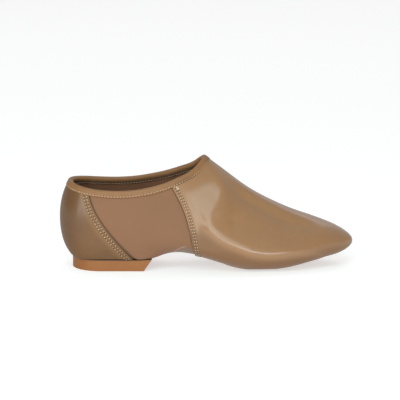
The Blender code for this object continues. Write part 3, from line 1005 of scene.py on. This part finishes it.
def pad_edges(x):
    """The pad's outer and inner edge, a share of the shoe's width."""
    s = section_at(x)
    share = PAD_SHARE * rounded_ends(x, PAD_BACK, PAD_FRONT, 26.0, 16.0)
    return s.centre - share * s.lateral, s.centre + share * s.medial


def pad_floor(x, y):
    """The pad's underside: thinner to the toe, and level where it stands on the floor."""
    thick = np.interp(x, (PAD_FRONT - PAD_TAPER, PAD_FRONT), (PAD_THICK, PAD_THIN))
    return np.maximum(0.0, section_at(x).bottom - JOINT - thick)


pad_work = plate(90, 24, PAD_BACK, PAD_FRONT, pad_edges, pad_floor, lambda x, y: tread_height(x, y) - JOINT)
pad_look, shader, place = new_finish("pad_rubber")
cloud = place.noise(18, 4)
crumb = place.noise(0.8, 2)
colour = cloud.rise(0.3, 0.75).tint(PAD_BROWN, PAD_WORN)
bump = place.relief(crumb, 0.1)
dress(shader, place, Base_Color=colour, Roughness=0.78 + 0.12 * crumb, Normal=bump)
pad = settle_piece("forefoot_pad", pad_work, pad_look)
round_off(pad, 0.5)
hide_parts("outsole_forefoot")

# Heel block. One low moulding of orange-tan rubber, round at the back, with a breast that slants in to the
# floor; cemented under the heel seat.
HEEL_BACK, HEEL_BREAST_TOP, HEEL_BREAST_FLOOR = 11.0, 79.0, 72.1
HEEL_HALF_WIDTH, HEEL_SEAT = 27.5, 12.0
HEEL_ORANGE = (0.252, 0.087, 0.014)
HEEL_DARK = (0.216, 0.073, 0.011)


def heel_edges(x):
    """The heel's two edges: straight at the breast and a half circle at the back."""
    reach = np.maximum(0, HEEL_BACK + HEEL_HALF_WIDTH - x)
    half = np.sqrt(np.maximum(0, HEEL_HALF_WIDTH**2 - reach**2))
    return -half, half


def heel_top(x, y):
    """The heel's top, which follows the underside of the leather and is level at the very back."""
    return section_at(np.maximum(x, HEEL_SEAT)).bottom - JOINT


heel_work = plate(70, 20, HEEL_BACK, HEEL_BREAST_TOP, heel_edges, lambda x, y: 0 * x, heel_top)
heel_x, heel_y, heel_z = shoe_points(heel_work).T
heel_below_top = heel_top(heel_x, heel_y) - heel_z
for vert in heel_work.verts:
    if vert.co.z < 0.0001:
        share = (vert.co.x * 1000 + LENGTH / 2 - HEEL_BACK) / (HEEL_BREAST_TOP - HEEL_BACK)
        vert.co.x = (HEEL_BACK + share * (HEEL_BREAST_FLOOR - HEEL_BACK) - LENGTH / 2) / 1000
heel_look, shader, place = new_finish("heel_rubber")
cloud = place.noise(14, 3)
speck = place.noise(0.9, 2)
colour = cloud.rise(0.3, 0.8).tint(HEEL_DARK, HEEL_ORANGE)
colour = (speck.rise(0.55, 0.75) * 0.25).tint(colour, HEEL_DARK)
along = place.node("ShaderNodeSeparateXYZ", None, {"Vector": place})
# Painted shadow along the heel's top edge, strongest under the counter.
under_counter = 1 - along.rise(-0.066, -0.056)
painted_top_shadow = 1 - place.mark("below_top_mm").rise(0.3, 1.1)
colour = (painted_top_shadow * (0.25 + 0.6 * under_counter)).tint(colour, SEAM_SHADOW)
dress(shader, place, Base_Color=colour, Roughness=0.55 + 0.15 * speck, Normal=place.relief(speck, 0.06))
heel = settle_piece("heel_block", heel_work, heel_look, {"below_top_mm": heel_below_top})
round_off(heel, 0.5)
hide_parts("heel")

# Studio. A plain pale table with a faint glow of its own, under four soft boxes: a tall key on the outer
# side, a low strip for the ridge of the vamp, one for the heel and one overhead at the back. The camera
# looks down a little on the outer side.
KEY_AZIMUTH = 17.0
KEY_SIZE = (1.3, 1.5)
KEY_COLOUR = (0.80, 1.0, 0.98)
FLOOR_PALE = (0.60, 0.60, 0.60)
FLOOR_PALER = (0.62, 0.62, 0.62)
floor_work = bmesh.new()
bmesh.ops.create_grid(floor_work, x_segments=2, y_segments=2, size=6.0)
floor_mesh = bpy.data.meshes.new("floor")
floor_work.to_mesh(floor_mesh)
floor_work.free()
floor = bpy.data.objects.new("floor", floor_mesh)
bpy.context.scene.collection.objects.link(floor)
floor_look, shader, place = new_finish("pale_floor")
dress(shader, place, Base_Color=place.noise(900, 1).tint(FLOOR_PALE, FLOOR_PALER), Roughness=0.9)
dress(shader, place, Specular_IOR_Level=0.1, Emission_Color=(1.0, 1.0, 1.0), Emission_Strength=0.53)
floor_mesh.materials.append(floor_look)


def area_light(name, spot, aim, size, power, colour=(1, 1, 1)):
    """A square soft box at a spot, turned to face a point."""
    lamp = bpy.data.lights.new(name, "AREA")
    lamp.shape = "RECTANGLE"
    lamp.size, lamp.size_y = size
    lamp.energy = power
    lamp.color = colour
    box = bpy.data.objects.new(name, lamp)
    box.location = spot
    box.rotation_euler = (Vector(aim) - Vector(spot)).to_track_quat("-Z", "Y").to_euler()
    bpy.context.scene.collection.objects.link(box)


def far_spot(azimuth, elevation, distance):
    """A spot seen from the shoe: azimuth from the camera's side to the toe's, elevation above the floor."""
    turn, rise = math.radians(azimuth), math.radians(elevation)
    flat = distance * math.cos(rise)
    return (flat * math.sin(turn), -flat * math.cos(turn), 0.05 + distance * math.sin(rise))


key_turn = math.radians(KEY_AZIMUTH)
key_half = Vector((math.cos(key_turn), math.sin(key_turn), 0)) * (KEY_SIZE[0] / 2)
key_spot = Vector(far_spot(KEY_AZIMUTH, 36, 1.6)) - key_half
key_aim = Vector((0, 0, 0.05)) - key_half
area_light("key_box", key_spot, key_aim, KEY_SIZE, 20.6, KEY_COLOUR)
area_light("low_strip", far_spot(12, 4, 1.5), (0, 0, 0.03), (1.1, 0.32), 8.8)
area_light("heel_box", far_spot(-46, 12, 1.4), (-0.1, 0, 0.05), (0.70, 0.85), 7.6)
area_light("back_box", (0, 1.9, 2.4), (0, 0.6, 0), (3.2, 2.0), 18)

# The sky of the studio: brighter overhead, behind the shoe and on the toe's side.
world = bpy.data.worlds.new("studio")
world.use_nodes = True
sky = Finish(world.node_tree).node("ShaderNodeTexCoord", out=0)
across, backward, upward = (
    sky.node("ShaderNodeSeparateXYZ", None, {"Vector": sky}, out=number) for number in range(3)
)
glow = 0.22 + 0.25 * upward + 0.4 * backward + 0.15 * across
background = world.node_tree.nodes["Background"]
sky.feed(background.inputs["Color"], (1.0, 1.0, 1.0))
sky.feed(background.inputs["Strength"], glow.sum("MAXIMUM", glow, 0.15))
bpy.context.scene.world = world
bpy.context.scene.view_settings.view_transform = "Standard"

camera_data = bpy.data.cameras.new("camera")
camera_data.lens = 231.5
camera_data.sensor_width = 36.0
camera_data.clip_end = 20.0
camera = bpy.data.objects.new("camera", camera_data)
camera.location = (0.0, -2.152, 0.4574)
camera_aim = Vector((-0.0055, 0.0115, 0.0541))
camera.rotation_euler = (camera_aim - camera.location).to_track_quat("-Z", "Y").to_euler()
bpy.context.scene.collection.objects.link(camera)
bpy.context.scene.camera = camera
